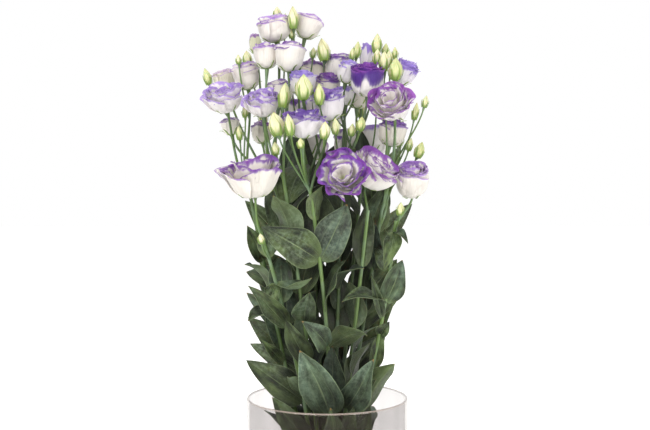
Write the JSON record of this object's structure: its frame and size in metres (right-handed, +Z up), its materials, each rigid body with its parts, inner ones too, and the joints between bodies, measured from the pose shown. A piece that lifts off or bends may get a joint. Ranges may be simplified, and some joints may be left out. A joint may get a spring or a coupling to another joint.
{
  "type": "lisianthus bouquet in glass cylinder vase",
  "caption": "Tall bunch of double lisianthus with ruffled, purple-edged white blooms, pale buds and grey-green leaves, standing in a clear glass cylinder of water.",
  "frame": {"origin": "middle of the flat underside of the vase", "axes": "+Z up along the vase; the side of the bunch that is meant to be seen faces -Y; +X to its right"},
  "size_m": [0.2674, 0.2145, 0.764],
  "materials": {
    "glass": "clear thin glass, polished",
    "water": "clear still water",
    "rubber_band": "matte elastic",
    "foliage": "waxy grey-green leaf with paler veins, bright green stems, cream-green buds",
    "petals": "soft satin petal, white with purple or lilac ruffled edges"
  },
  "bodies": {
    "root": {"vase": "glass", "water": "water", "band": "rubber_band", "stem_01": "foliage", "stem_02": "foliage", "stem_03": "foliage", "stem_04": "foliage", "stem_05": "foliage", "stem_06": "foliage", "stem_07": "foliage", "stem_08": "foliage", "stem_09": "foliage", "stem_10": "foliage", "stem_11": "foliage", "stem_12": "foliage", "stem_13": "foliage", "stem_14": "foliage", "bloom_01": "petals", "bloom_02": "petals", "bloom_03": "petals", "bloom_04": "petals", "bloom_05": "petals", "bloom_06": "petals", "bloom_07": "petals", "bloom_08": "petals", "bloom_09": "petals", "bloom_10": "petals", "bloom_11": "petals", "bloom_12": "petals", "bloom_13": "petals", "bloom_14": "petals", "bloom_15": "petals", "bloom_16": "petals", "bloom_17": "petals", "bloom_18": "petals", "bloom_19": "petals", "bloom_20": "petals", "bloom_21": "petals", "bloom_22": "petals", "bloom_23": "petals", "bloom_24": "petals", "bloom_25": "petals", "bloom_26": "petals", "bloom_27": "petals", "bloom_28": "petals", "bloom_29": "petals", "bloom_30": "petals", "bloom_31": "petals", "bloom_32": "petals", "bloom_33": "petals", "bloom_34": "petals", "bloom_35": "petals", "bloom_36": "petals"}
  },
  "joints": []
}
